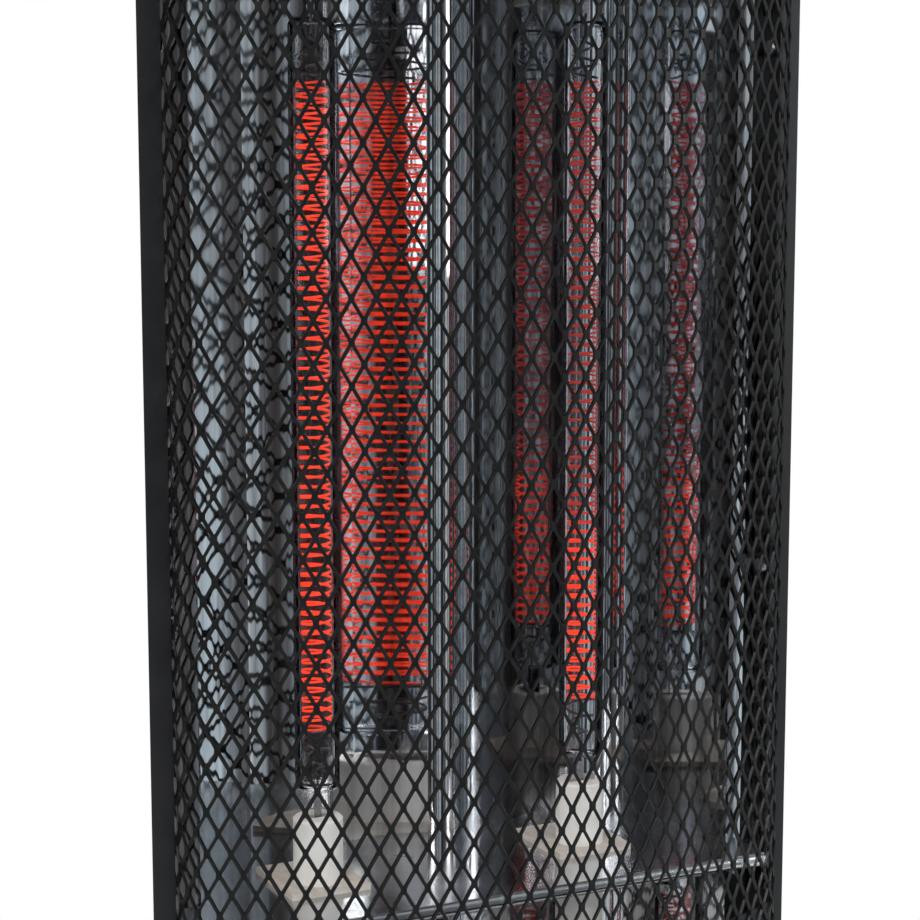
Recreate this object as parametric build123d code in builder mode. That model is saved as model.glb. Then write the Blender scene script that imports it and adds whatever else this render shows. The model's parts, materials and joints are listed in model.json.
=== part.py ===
"""Free-standing quartz heater: two tiers of upright glass lamps behind an expanded metal guard.

X runs to the right seen from the front, Y to the back, Z up. The lamps stand on the line Y = 0,
and the origin lies on the floor under the middle of the base. All sizes are millimetres.
"""

import math
import os

from build123d import *

# Lamps: glass tubes with a wound wire, a flat pinch and a ceramic cap at each end
lamp_spacing = 120.0
tube_radius = 9.0
tube_wall = 1.0
glass_length = 305.0
shoulder_radius = 3.5
pinch_height = 11.0
pinch_width = 12.0
pinch_thickness = 4.0
pinch_seat = 14.0
cap_radius = 10.1
cap_height = 29.0
cap_rounding = 2.0
coil_radius = 6.6
wire_radius = 0.65
coil_turns = 24
coil_inset = 23.0
crimp_radius = 0.85
crimp_length = 1.4
lead_radius = 0.6
foil_width = 3.2
foil_thickness = 0.3
pin_radius = 0.9
pin_tail = 3.0

# Sheet parts
shelf_sheet = 0.8
reflector_sheet = 0.6
casing_sheet = 0.8
guard_sheet = 1.2
band_sheet = 1.0
post_sheet = 1.2
lip_radius = 3.0
lip_front = 41.5
lip_half_length = 125.0

# Tower in plan
post_inner = 132.0
post_width = 9.0
post_front = -33.0
post_depth = 10.0
post_taper = 22.0
guard_apex = -83.0
guard_radius = 260.0
guard_corner = 22.0
guard_tuck = 9.0
rear_depth = 75.0
rear_half_width = 103.0
rear_corner = 15.0
flange_width = 9.0
ridge_tip = 2.0
trough_knee = (30.0, 33.0)
trough_floor = (68.5, 53.0)
trough_rear = (104.8, 66.0)
trough_bows = (2.0, 1.7, 0.4, -0.4)
ridge_radius = 8.0
trough_corner = 12.0
reflector_mouth = 119.0

# Heights
foot_height = 6.0
base_height = 32.0
foot_plate_thickness = 2.0
control_height = 92.0
shelf_above_fascia = 3.0
lamp_end_gap = 9.2
mid_band_drop = 19.0
mid_band_height = 40.0
rim_band_height = 18.0
top_cap_height = 59.2

# Base
base_width = 320.0
base_depth = 230.0
base_corner = 60.0
base_wall = 2.5
base_taper = 12.0
bottom_plate_thickness = 1.5
foot_radius = 11.0
foot_inset_x = 42.0
foot_inset_y = 42.0

# Guard openings: a coarse version of the fine diamond mesh
gap_columns = 8
gap_rows = 17
gap_field_width = 218.0
strand_width = 3.6
guard_rim = 14.0

# Controls
fascia_wall = 2.0
boss_radius = 26.0
boss_rise = 3.0
boss_seat = 1.5
knob_radius = 20.0
knob_depth = 15.0
knob_gap = 0.8
knob_wall = 2.5
shaft_radius = 3.0
shaft_length = 38.0
bushing_radius = 4.8
nut_width = 12.0
nut_thickness = 2.0
switch_width = 30.0
switch_height = 28.0
switch_depth = 22.0
lens_x = 58.0
lens_radius = 4.9
lens_flange = 6.5
lens_flange_thickness = 1.5

# Tilt switch under the base
tilt_y = -62.0
plunger_radius = 3.0
plunger_flange_radius = 4.6
plunger_flange = 1.5
plunger_drop = 6.0
tilt_width = 20.0
tilt_height = 24.0
tilt_roof = 2.5
spring_radius = 3.7
spring_wire = 0.4
spring_turns = 4

# Handle, gland and terminal block
handle_span = 112.0
handle_reach = 28.0
handle_bar = 11.0
handle_lug = 15.0
handle_height = 24.0
handle_below_top = 70.0
gland_radius = 8.0
gland_bore = 4.2
gland_flange = 11.0
gland_length = 15.0
gland_height = 62.0
block_width = 60.0
block_depth = 16.0
block_height = 14.0
block_y = 34.0
wire_cover_radius = 1.5

# Screws and clearances
screw_radius = 1.75
screw_head_radius = 3.2
screw_head = 2.0
screw_length = 8.0
guard_screw_length = 5.0
hole_clearance = 0.1
running_clearance = 0.05
band_gap = 0.3
seat_clearance = 0.3
plate_play = 0.7

# Heights worked out from the floor up
base_top = foot_height + base_height
column_bottom = base_top + foot_plate_thickness
fascia_top = column_bottom + control_height
lamp_length = glass_length + 2 * (pinch_height + cap_height)
tier_pitch = lamp_length + lamp_end_gap + shelf_sheet
lower_shelf = fascia_top + shelf_above_fascia
upper_shelf = lower_shelf + tier_pitch
ceiling = upper_shelf + tier_pitch - shelf_sheet
ceiling_top = ceiling + shelf_sheet
shelf_levels = {"lower": lower_shelf, "upper": upper_shelf}
lamp_sides = {"left": -lamp_spacing / 2, "right": lamp_spacing / 2}
lamp_spots = [(x, 0) for x in lamp_sides.values()]

# Plan values worked out from the ones above
post_outer = post_inner + post_width
post_rear = post_front + post_depth
post_rear_outer = post_outer - post_depth * math.tan(math.radians(post_taper))
guard_centre = guard_apex + guard_radius
guard_rear = post_front + guard_tuck
knob_height = (column_bottom + fascia_top) / 2
boss_face = guard_apex - boss_rise
switch_seat = guard_apex + fascia_wall + boss_seat
ceiling_hole_radius = 10.0
riser_y = 40.0

os.makedirs("parts", exist_ok=True)


def save(solid, label):
    """Label one finished piece and write its file."""
    solid.label = label
    export_step(solid, "parts/" + label + ".step")


def filled(points, radii):
    """A face bounded by a filleted open polyline and the straight line that closes it."""
    with BuildSketch() as area:
        with BuildLine():
            bend = FilletPolyline(*points, radius=radii)
            Line(bend @ 1, bend @ 0)
        make_face()
    return area.sketch


def guard_area(inset):
    """The space inside the guard in plan, drawn in by the inset and cut square at its back."""
    half_width = post_inner - inset
    reach = guard_rear - guard_apex
    with BuildSketch() as area:
        with Locations((0, guard_centre)):
            Circle(guard_radius - inset)
        with Locations((0, guard_rear - reach / 2)):
            Rectangle(2 * half_width, reach, mode=Mode.INTERSECT)
        fillet(area.vertices().group_by(Axis.Y)[0], guard_corner - inset)
    return area.sketch


def guard_strip(inset, thickness):
    """A thin strip that follows the guard in plan."""
    with BuildSketch() as strip:
        add(guard_area(inset))
        add(guard_area(inset + thickness), mode=Mode.SUBTRACT)
    return strip.sketch


def mirrored_points(half):
    """The points of a right half, run from the left end to the right end."""
    return [(-x, y) for x, y in reversed(half) if x > 0] + list(half)


def casing_area(inset):
    """The space inside the rear casing in plan, drawn in by the inset."""
    front = post_rear + reflector_sheet
    half = [(rear_half_width, rear_depth), (post_rear_outer, front)]
    outer = filled(mirrored_points(half), rear_corner)
    with BuildSketch() as area:
        add(outer)
        if inset > 0:
            offset(amount=-inset, kind=Kind.INTERSECTION)
    return area.sketch


def post_area(side):
    """One post in plan: square at the front, its outer side drawn in towards the back."""
    with BuildSketch() as area:
        with BuildLine():
            Polyline(
                (side * post_inner, post_front),
                (side * post_outer, post_front),
                (side * post_rear_outer, post_rear),
                (side * post_inner, post_rear),
                close=True,
            )
        make_face()
    return area.sketch


def tower_area():
    """The tower's plates in plan: bowed at the front, drawn in behind the posts."""
    half = [(rear_half_width, rear_depth), (post_outer, post_front)]
    reach = post_front - guard_apex
    with BuildSketch() as front:
        with Locations((0, guard_centre)):
            Circle(guard_radius)
        with Locations((0, post_front - reach / 2)):
            Rectangle(2 * post_outer, reach, mode=Mode.INTERSECT)
        fillet(front.vertices().group_by(Axis.Y)[0], guard_corner / 2)
    with BuildSketch() as area:
        add(front.sketch)
        add(filled(mirrored_points(half), rear_corner))
    return area.sketch


def between(solid_area, bottom, top):
    """A plan area raised from one height to another."""
    with BuildPart() as block:
        with BuildSketch(Plane.XY.offset(bottom)):
            add(solid_area)
        extrude(amount=top - bottom)
    return block


def rod(start, end, radius):
    """Add a round bar between two points to the part being built."""
    run = Vector(*end) - Vector(*start)
    with BuildSketch(Plane(origin=start, z_dir=run)) as section:
        Circle(radius)
    extrude(section.sketch, amount=run.length)


def screw(place, length=screw_length):
    """Add a pan head screw whose head stands on the plane and whose shank runs against its normal."""
    with BuildSketch(place) as head:
        Circle(screw_head_radius)
    extrude(head.sketch, amount=screw_head)
    with BuildSketch(place) as shank:
        Circle(screw_radius)
    extrude(shank.sketch, amount=-length)


def screw_hole(place, depth=screw_length):
    """Cut the clearance hole of a screw that stands on the plane."""
    with BuildSketch(place) as hole:
        Circle(screw_radius + hole_clearance)
    extrude(hole.sketch, amount=-depth, mode=Mode.SUBTRACT)


def biarc(start, start_way, end, end_way):
    """Draw two arcs that leave one point and reach the other along the given directions."""
    chord = end - start
    bend = 2 * (1 - start_way.dot(end_way))
    along = chord.dot(start_way + end_way)
    reach = (math.sqrt(along**2 + bend * chord.dot(chord)) - along) / bend
    first = start + start_way * reach
    last = end - end_way * reach
    middle = (first + last) / 2
    TangentArc(start, middle, tangent=start_way)
    TangentArc(middle, end, tangent=last - first)


def helix_point(radius, rise, turn):
    """A point of a helix that starts on the X axis, after a number of turns."""
    angle = 2 * math.pi * turn
    return Vector(radius * math.cos(angle), radius * math.sin(angle), rise * turn)


def helix_way(radius, rise, turn):
    """The direction of the same helix at that point."""
    angle = 2 * math.pi * turn
    around = 2 * math.pi * radius
    return Vector(-around * math.sin(angle), around * math.cos(angle), rise).normalized()


def wound_wire(radius, wire, rise, turns, end_run):
    """An unbroken round wire wound up the Z axis, with a straight run at each end."""
    with BuildPart() as winding:
        with BuildLine():
            first_way = helix_way(radius, rise, 0)
            last_way = helix_way(radius, rise, turns)
            first = helix_point(radius, rise, 0)
            last = helix_point(radius, rise, turns)
            Line(first - first_way * end_run, first)
            for half_turn in range(2 * turns):
                before = half_turn / 2
                after = before + 0.5
                biarc(
                    helix_point(radius, rise, before),
                    helix_way(radius, rise, before),
                    helix_point(radius, rise, after),
                    helix_way(radius, rise, after),
                )
            Line(last, last + last_way * end_run)
        with BuildSketch(Plane(origin=first - first_way * end_run, z_dir=first_way)):
            Circle(wire)
        sweep()
    return winding


def least_gap(radius, wire, rise, turns, steps=16):
    """The least gap of a wound wire to itself, measured on points of its centre line."""
    spots = [tuple(helix_point(radius, rise, step / steps)) for step in range(turns * steps + 1)]
    apart = steps // 2
    nearest = min(
        math.dist(spot, other)
        for place, spot in enumerate(spots)
        for other in spots[place + apart:place + 3 * steps]
    )
    return nearest - 2 * wire


# One lamp, standing on its own origin

coil_bottom = cap_height + pinch_height + coil_inset
coil_rise = (glass_length - 2 * coil_inset) / coil_turns
pinch_bottom = cap_height - pinch_seat
glass_bottom = cap_height + pinch_height
lamp_middle = lamp_length / 2
foil_top = glass_bottom - 2.0


def turned_over():
    """The two ends of a lamp: as drawn, and turned over about its middle."""
    return Locations((0, 0, 0), Location((0, 0, lamp_length), (180, 0, 0)))


def make_coil():
    """The heating wire of one lamp."""
    with BuildPart() as coil:
        with Locations((0, 0, coil_bottom)):
            add(wound_wire(coil_radius, wire_radius, coil_rise, coil_turns, 2 * wire_radius).part)
    return coil.part


def make_glass():
    """The quartz tube of one lamp, with a flat pinch at each end that holds the foil."""
    with BuildPart() as bore:
        with Locations((0, 0, lamp_middle)):
            Cylinder(tube_radius - tube_wall, glass_length - 4 * tube_wall)
        fillet(bore.edges().filter_by(GeomType.CIRCLE), shoulder_radius - tube_wall)
    with BuildPart() as glass:
        with Locations((0, 0, lamp_middle)):
            Cylinder(tube_radius, glass_length)
        fillet(glass.edges().filter_by(GeomType.CIRCLE), shoulder_radius)
        with turned_over():
            with Locations((0, 0, (pinch_bottom + glass_bottom + 1) / 2)):
                Box(pinch_width, pinch_thickness, glass_bottom + 1 - pinch_bottom)
        add(bore.part, mode=Mode.SUBTRACT)
        with turned_over():
            with Locations((0, 0, (pinch_bottom + foil_top) / 2)):
                Box(
                    foil_width + 2 * running_clearance,
                    foil_thickness + 2 * running_clearance,
                    foil_top - pinch_bottom,
                    mode=Mode.SUBTRACT,
                )
            with Locations((0, 0, foil_top)):
                Cylinder(
                    lead_radius + running_clearance,
                    glass_bottom + 3 * tube_wall - foil_top,
                    align=(Align.CENTER, Align.CENTER, Align.MIN),
                    mode=Mode.SUBTRACT,
                )
    return glass.part


def make_lead():
    """The lead at the lower end of one lamp: crimp, wire, foil and outer pin, welded in one."""
    way = helix_way(coil_radius, coil_rise, 0)
    meets = Vector(coil_radius, 0, coil_bottom) - way * 2 * wire_radius
    crimp_end = meets - way * crimp_length
    crimp_middle = meets - way * crimp_length / 2
    knee = Vector(0, 0, crimp_middle.Z)
    with BuildPart() as lead:
        rod(meets, crimp_end, crimp_radius)
        rod(crimp_middle, knee, lead_radius)
        with Locations(knee):
            Sphere(lead_radius)
        rod((0, 0, foil_top), knee, lead_radius)
        with Locations((0, 0, (pinch_bottom + foil_top) / 2)):
            Box(foil_width, foil_thickness, foil_top - pinch_bottom)
        rod((0, 0, -pin_tail), (0, 0, pinch_bottom), pin_radius)
    return lead.part


def make_cap():
    """The ceramic cap at the lower end of one lamp."""
    with BuildPart() as cap:
        Cylinder(cap_radius, cap_height, align=(Align.CENTER, Align.CENTER, Align.MIN))
        fillet(cap.edges().group_by(Axis.Z)[0], cap_rounding)
        chamfer(cap.edges().group_by(Axis.Z)[-1], 0.8)
        with Locations((0, 0, (pinch_bottom + cap_height) / 2)):
            Box(
                pinch_width + 2 * hole_clearance,
                pinch_thickness + 2 * hole_clearance,
                cap_height - pinch_bottom,
                mode=Mode.SUBTRACT,
            )
        Cylinder(pin_radius + seat_clearance, 3 * cap_height, mode=Mode.SUBTRACT)
    return cap.part


def both_ends(piece):
    """A lower end piece and its copy at the upper end of the lamp."""
    with BuildPart() as pair:
        with turned_over():
            add(piece)
    return pair.part


def lamp_pieces():
    """The four pieces of one lamp under the names they are saved by."""
    return {
        "quartz_tube": make_glass(),
        "heating_coil": make_coil(),
        "lamp_leads": both_ends(make_lead()),
        "ceramic_caps": both_ends(make_cap()),
    }


def build_lamps():
    """Four lamps, two in each tier, each of separate pieces."""
    for piece_name, piece in lamp_pieces().items():
        for tier, level in shelf_levels.items():
            for side, x in lamp_sides.items():
                with BuildPart() as placed:
                    with Locations((x, 0, level)):
                        add(piece)
                save(placed.part, tier + "_" + side + "_" + piece_name)
    print("coil: least gap %.2f mm" % least_gap(coil_radius, wire_radius, coil_rise, coil_turns))


# Reflectors and shelves

mouth_y = post_rear
trough_points = [(0, ridge_tip), trough_knee, trough_floor, trough_rear, (reflector_mouth, mouth_y)]
tab_width = 8.0
tab_play = 0.4


def bow_middle(side, start, end, bow):
    """The middle of a bowed flank, and the way it bows, on one side of the ridge."""
    along = Vector(side * (end[0] - start[0]), end[1] - start[1])
    back = Vector(0, 0, 1).cross(along).normalized() * side
    return Vector(side * (start[0] + end[0]) / 2, (start[1] + end[1]) / 2) + back * bow, back, along


def trough_area():
    """The space before the reflector: two mirrored troughs of bowed flanks, rounded at their ends."""
    with BuildSketch() as area:
        with BuildLine():
            for side in (-1, 1):
                for start, end, bow in zip(trough_points, trough_points[1:], trough_bows):
                    middle = bow_middle(side, start, end, bow)[0]
                    ends = [(side * x, y) for x, y in (start, end)]
                    ThreePointArc(ends[0], middle, ends[1])
            Line((-reflector_mouth, mouth_y), (reflector_mouth, mouth_y))
        make_face()
        for (x, y), radius in ((trough_points[0], ridge_radius), (trough_rear, trough_corner)):
            fillet([v for v in area.vertices() if abs(abs(v.X) - x) + abs(v.Y - y) < 0.01], radius)
    return area.sketch


def tab_places():
    """Planes at the reflector's foot, each standing across one flank of a trough."""
    flanks = list(zip(trough_points, trough_points[1:], trough_bows))
    spots = []
    for side in (-1, 1):
        for start, end, bow in (flanks[0], flanks[-1]):
            middle, back, along = bow_middle(side, start, end, bow)
            spots.append(Plane(origin=middle + back * reflector_sheet / 2, x_dir=along, z_dir=(0, 0, 1)))
    return spots


def tab_cutter(bottom, height, play):
    """Blocks where the reflector's tabs go through a shelf."""
    with BuildPart() as blocks:
        for place in tab_places():
            with BuildSketch(place.offset(bottom)):
                Rectangle(tab_width + 2 * play, reflector_sheet + 2 * play)
            extrude(amount=height)
    return blocks.part


def make_reflector(tier):
    """One polished sheet with a trough behind each lamp and a rounded ridge between them."""
    level = shelf_levels[tier]
    top = level + tier_pitch - shelf_sheet
    bay = trough_area()
    with BuildSketch() as sheet:
        add(bay)
        offset(amount=reflector_sheet)
        add(bay, mode=Mode.SUBTRACT)
        with Locations((0, mouth_y)):
            Rectangle(2 * post_outer, 2 * reflector_sheet, mode=Mode.SUBTRACT)
        for side in (-1, 1):
            inner = reflector_mouth - reflector_sheet
            outer = post_inner + 2 * post_sheet
            with Locations((side * (inner + outer) / 2, mouth_y + reflector_sheet / 2)):
                Rectangle(outer - inner, reflector_sheet)
    with BuildPart() as reflector:
        with BuildSketch(Plane.XY.offset(level)):
            add(sheet.sketch)
        extrude(amount=top - level)
        add(tab_cutter(level - shelf_sheet, shelf_sheet, 0))
    save(reflector.part, tier + "_reflector")


def shelf_area():
    """A shelf in plan: inside the casing, and forward between the posts as far as its rolled lip."""
    front = -lip_front
    half_front = lip_half_length
    side_gap = casing_sheet + seat_clearance
    with BuildSketch() as area:
        add(casing_area(side_gap))
        with Locations((0, (front + post_rear) / 2 + seat_clearance)):
            Rectangle(2 * half_front, post_rear - front + 2 * seat_clearance + 2 * side_gap)
    return area.sketch


def make_shelf(tier):
    """A lamp shelf with a rolled front lip, holes for the lamp pins and slots for the tabs."""
    level = shelf_levels[tier]
    with BuildPart() as shelf:
        with BuildSketch(Plane.XY.offset(level)):
            add(shelf_area())
        extrude(amount=-shelf_sheet)
        with BuildSketch(Plane.YZ.offset(-lip_half_length)):
            with Locations((-lip_front, level - lip_radius)):
                Circle(lip_radius)
                Circle(lip_radius - shelf_sheet, mode=Mode.SUBTRACT)
        extrude(amount=2 * lip_half_length)
        with BuildSketch(Plane.XY.offset(level)):
            with Locations(*lamp_spots):
                Circle(pin_radius + seat_clearance)
            with Locations((0, riser_y)):
                Circle(ceiling_hole_radius)
        extrude(amount=-shelf_sheet, mode=Mode.SUBTRACT)
        add(tab_cutter(level - shelf_sheet, shelf_sheet, tab_play), mode=Mode.SUBTRACT)
    save(shelf.part, tier + "_shelf")


pad_width = 34.0
pad_depth = 40.0
pad_shift = 6.0
pad_thickness = 2.5


def make_pads(tier):
    """Insulating pads on a shelf, one round the foot of each lamp."""
    with BuildPart() as pads:
        with BuildSketch(Plane.XY.offset(shelf_levels[tier])):
            with Locations(*[(x, pad_shift) for x, y in lamp_spots]):
                Rectangle(pad_width, pad_depth)
            with Locations(*lamp_spots):
                Circle(cap_radius + hole_clearance, mode=Mode.SUBTRACT)
        extrude(amount=pad_thickness)
    save(pads.part, tier + "_lamp_pads")


cup_wall = 0.6
cup_overlap = 7.0


def make_cups(tier):
    """Sheet cups under the roof of a tier that hold the tops of its lamps."""
    roof = shelf_levels[tier] + tier_pitch - shelf_sheet
    depth = lamp_end_gap + cup_overlap
    radius = cap_radius + hole_clearance
    with BuildPart() as cups:
        with BuildSketch(Plane.XY.offset(roof)):
            with Locations(*lamp_spots):
                Circle(radius + cup_wall)
        extrude(amount=-depth)
        with BuildSketch(Plane.XY.offset(roof - cup_wall)):
            with Locations(*lamp_spots):
                Circle(radius)
        extrude(amount=-depth, mode=Mode.SUBTRACT)
        with BuildSketch(Plane.XY.offset(roof)):
            with Locations(*lamp_spots):
                Circle(wire_cover_radius + seat_clearance)
        extrude(amount=-cup_wall, mode=Mode.SUBTRACT)
    save(cups.part, tier + "_lamp_cups")


# Column: posts, casing, guard and bands

guard_screw_levels = [fascia_top + 60, upper_shelf - 120, upper_shelf + 120, ceiling - 60]
guard_screw_y = guard_rear - guard_tuck / 2


def guard_screw_planes():
    """Planes on the inner faces of the guard's legs, facing the middle of the heater."""
    return [
        Plane(origin=(side * (post_inner - guard_sheet), guard_screw_y, z), z_dir=(-side, 0, 0))
        for side in (-1, 1)
        for z in guard_screw_levels
    ]


def make_post(side, label):
    """A post rolled from sheet, hollow from the foot plate to the roof."""
    with BuildPart() as post:
        with BuildSketch(Plane.XY.offset(column_bottom)):
            add(post_area(side))
            offset(amount=-post_sheet, kind=Kind.INTERSECTION, mode=Mode.SUBTRACT)
        extrude(amount=ceiling - column_bottom)
        for place in guard_screw_planes():
            if place.origin.X * side > 0:
                screw_hole(place, guard_sheet + 2 * post_sheet)
    save(post.part, label)


vent_width = 52.0
vent_height = 4.0
vent_pitch = 11.0
vent_rows = 12


def make_casing():
    """The folded rear casing, open to the front, with two fields of vents in its back."""
    front = post_rear + reflector_sheet
    with BuildSketch() as sheet:
        add(casing_area(0))
        add(casing_area(casing_sheet), mode=Mode.SUBTRACT)
        inner_edge = post_rear_outer - flange_width
        with Locations((0, front)):
            Rectangle(2 * inner_edge, 4 * casing_sheet, mode=Mode.SUBTRACT)
    handle_z = ceiling - handle_below_top
    vent_levels = [lower_shelf + tier_pitch / 2, upper_shelf + tier_pitch / 3]
    with BuildPart() as casing:
        with BuildSketch(Plane.XY.offset(column_bottom)):
            add(sheet.sketch)
        extrude(amount=ceiling - column_bottom)
        with BuildSketch(Plane.XZ.offset(-rear_depth)):
            for level in vent_levels:
                with Locations((0, level)):
                    with GridLocations(vent_width + 14, vent_pitch, 2, vent_rows):
                        SlotOverall(vent_width, vent_height)
            with Locations((0, gland_height)):
                Circle(gland_radius + hole_clearance)
            with Locations((-handle_screw_x, handle_z), (handle_screw_x, handle_z)):
                Circle(screw_radius + hole_clearance)
        extrude(amount=2 * casing_sheet, both=True, mode=Mode.SUBTRACT)
    save(casing.part, "rear_casing")


def diamond_spots():
    """The centres of the guard's gaps, in staggered rows."""
    pitch_x = gap_field_width / gap_columns
    pitch_z = gap_height()
    spots = []
    for row in range(2 * gap_rows - 1):
        z = fascia_top + guard_rim + pitch_z / 2 * (row + 1)
        odd = row % 2
        for column in range(gap_columns - odd):
            x = (column - (gap_columns - 1 - odd) / 2) * pitch_x
            spots.append((x, z))
    return spots


def gap_height():
    """The height of one diamond of the guard's pattern."""
    return (ceiling - fascia_top - 2 * guard_rim) / gap_rows


def make_guard():
    """The expanded metal guard over both tiers, bowed forward with tight corners."""
    half_x = gap_field_width / gap_columns / 2
    half_z = gap_height() / 2
    slope = math.hypot(half_x, half_z)
    shrink_x = strand_width / 2 * slope / half_z
    shrink_z = strand_width / 2 * slope / half_x
    corners = [(half_x - shrink_x, 0), (0, half_z - shrink_z), (shrink_x - half_x, 0), (0, shrink_z - half_z)]
    spots = diamond_spots()
    print("guard: %d gaps" % len(spots))
    with BuildPart() as guard:
        with BuildSketch(Plane.XY.offset(fascia_top)):
            add(guard_strip(0, guard_sheet))
        extrude(amount=ceiling - fascia_top)
        with BuildSketch(Plane.XZ.offset(-guard_apex + guard_sheet)):
            with Locations(*spots):
                Polygon(*corners, align=None)
        extrude(amount=guard_apex - guard_rear, mode=Mode.SUBTRACT)
        for place in guard_screw_planes():
            screw_hole(place, 2 * guard_sheet)
    save(guard.part, "mesh_guard")


def make_guard_screws():
    """The screws that hold the guard's legs to the posts."""
    with BuildPart() as screws:
        for place in guard_screw_planes():
            screw(place, guard_screw_length)
    save(screws.part, "guard_screws")


def make_bands():
    """Dark strips behind the mesh, which stiffen it and hide the ends of the lamps."""
    levels = {
        "bottom_band": (fascia_top, fascia_top + rim_band_height),
        "middle_band": (upper_shelf - mid_band_drop - mid_band_height, upper_shelf - mid_band_drop),
        "top_band": (ceiling - rim_band_height, ceiling),
    }
    for label, (bottom, top) in levels.items():
        band = between(guard_strip(guard_sheet + band_gap, band_sheet), bottom, top)
        save(band.part, label)


# Roof, handle and top cap

cap_overhang = 1.5
cap_wall = 2.4
cap_rounded = 5.0
boss_outer = 5.0
roof_screw_spots = [(-70, -45), (70, -45), (-70, 50), (70, 50)]
handle_screw_x = (handle_span - handle_lug) / 2


def make_roof():
    """The plate over the upper tier that carries the top cap."""
    with BuildPart() as roof:
        with BuildSketch(Plane.XY.offset(ceiling)):
            add(tower_area())
            with Locations(*roof_screw_spots):
                Circle(screw_radius + hole_clearance, mode=Mode.SUBTRACT)
            with Locations(*lamp_spots):
                Circle(wire_cover_radius + seat_clearance, mode=Mode.SUBTRACT)
            with Locations((0, riser_y)):
                Circle(ceiling_hole_radius, mode=Mode.SUBTRACT)
        extrude(amount=shelf_sheet)
    save(roof.part, "roof_plate")


def make_top_cap():
    """The moulded top cap with its louvres and four screw bosses."""
    top = ceiling_top + top_cap_height
    with BuildPart() as cap:
        with BuildSketch(Plane.XY.offset(ceiling_top)):
            add(tower_area())
            offset(amount=cap_overhang)
        extrude(amount=top_cap_height)
        fillet(cap.faces().sort_by(Axis.Z)[-1].edges(), cap_rounded)
        with BuildSketch(Plane.XY.offset(ceiling_top)):
            add(tower_area())
            offset(amount=cap_overhang - cap_wall)
        extrude(amount=top_cap_height - cap_wall, mode=Mode.SUBTRACT)
        with BuildSketch(Plane.XY.offset(ceiling_top)):
            with Locations(*roof_screw_spots):
                Circle(boss_outer)
        extrude(amount=top_cap_height - cap_wall)
        with BuildSketch(Plane.XY.offset(ceiling_top)):
            with Locations(*roof_screw_spots):
                Circle(screw_radius + hole_clearance)
        extrude(amount=screw_length + screw_head, mode=Mode.SUBTRACT)
        with BuildSketch(Plane.XY.offset(top)):
            with Locations((0, riser_y)):
                with GridLocations(12, 1, 9, 1):
                    SlotOverall(34, 4, rotation=90)
        extrude(amount=-2 * cap_wall, mode=Mode.SUBTRACT)
    save(cap.part, "top_cap")


def make_roof_screws():
    """The screws that hold the top cap, driven up through the roof plate."""
    with BuildPart() as screws:
        for x, y in roof_screw_spots:
            screw(Plane(origin=(x, y, ceiling), z_dir=(0, 0, -1)))
    save(screws.part, "top_cap_screws")


def handle_planes():
    """Planes on the inner face of the casing's back, where the handle's screws stand."""
    z = ceiling - handle_below_top
    return [
        Plane(origin=(x, rear_depth - casing_sheet, z), z_dir=(0, -1, 0))
        for x in (-handle_screw_x, handle_screw_x)
    ]


def make_handle():
    """The carrying handle on the back: a bar on two lugs."""
    z = ceiling - handle_below_top
    middle = rear_depth + handle_reach / 2
    with BuildPart() as handle:
        with BuildSketch(Plane.XY.offset(z - handle_height / 2)):
            with Locations((0, middle)):
                Rectangle(handle_span, handle_reach)
            with Locations((0, middle - handle_bar / 2)):
                Rectangle(
                    handle_span - 2 * handle_lug,
                    handle_reach - handle_bar,
                    mode=Mode.SUBTRACT,
                )
        extrude(amount=handle_height)
        fillet(handle.faces().sort_by(Axis.Y)[-1].edges(), 4)
        for place in handle_planes():
            screw_hole(place, screw_length + 1)
    save(handle.part, "carry_handle")


def make_handle_screws():
    """The two screws of the handle."""
    with BuildPart() as screws:
        for place in handle_planes():
            screw(place)
    save(screws.part, "handle_screws")


# Control fascia, switch, knob and lens


def surface_y(x):
    """Where the bowed front stands at a distance from the middle."""
    return guard_centre - math.sqrt(guard_radius**2 - x**2)


lens_face = surface_y(lens_x) - 2.0
lens_boss_radius = 9.0


def front_disc(x, z, radius, front, back, mode=Mode.ADD):
    """Add or cut an upright disc that faces the front, between two depths."""
    with BuildSketch(Plane.XZ.offset(-back)) as disc:
        with Locations((x, z)):
            Circle(radius)
    extrude(disc.sketch, amount=back - front, mode=mode)


def make_fascia():
    """The moulded control panel under the guard, with a flat boss for the knob."""
    with BuildPart() as fascia:
        with BuildSketch(Plane.XY.offset(column_bottom)):
            add(guard_strip(0, fascia_wall))
        extrude(amount=control_height)
        front_disc(0, knob_height, boss_radius, boss_face, switch_seat)
        front_disc(lens_x, knob_height, lens_boss_radius, lens_face, surface_y(lens_x) + fascia_wall)
        front_disc(0, knob_height, bushing_radius + hole_clearance, boss_face, 0, Mode.SUBTRACT)
        front_disc(lens_x, knob_height, lens_radius + hole_clearance, lens_face, 0, Mode.SUBTRACT)
    save(fascia.part, "control_fascia")


def make_switch():
    """The rotary switch: a block behind the fascia with a neck through it."""
    with BuildPart() as switch:
        with Locations((0, switch_seat + switch_depth / 2, knob_height)):
            Box(switch_width, switch_depth, switch_height)
        front_disc(0, knob_height, bushing_radius, boss_face - nut_thickness, switch_seat)
        bore_back = boss_face - knob_gap - knob_depth + shaft_length + seat_clearance
        front_disc(0, knob_height, shaft_radius + running_clearance, boss_face - 9, bore_back, Mode.SUBTRACT)
    save(switch.part, "rotary_switch")


def make_switch_nut():
    """The nut that clamps the switch to the fascia."""
    with BuildPart() as nut:
        with BuildSketch(Plane.XZ.offset(-boss_face)):
            with Locations((0, knob_height)):
                RegularPolygon(nut_width / 2, 6, major_radius=False)
                Circle(bushing_radius + hole_clearance, mode=Mode.SUBTRACT)
        extrude(amount=nut_thickness)
    save(nut.part, "switch_nut")


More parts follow.
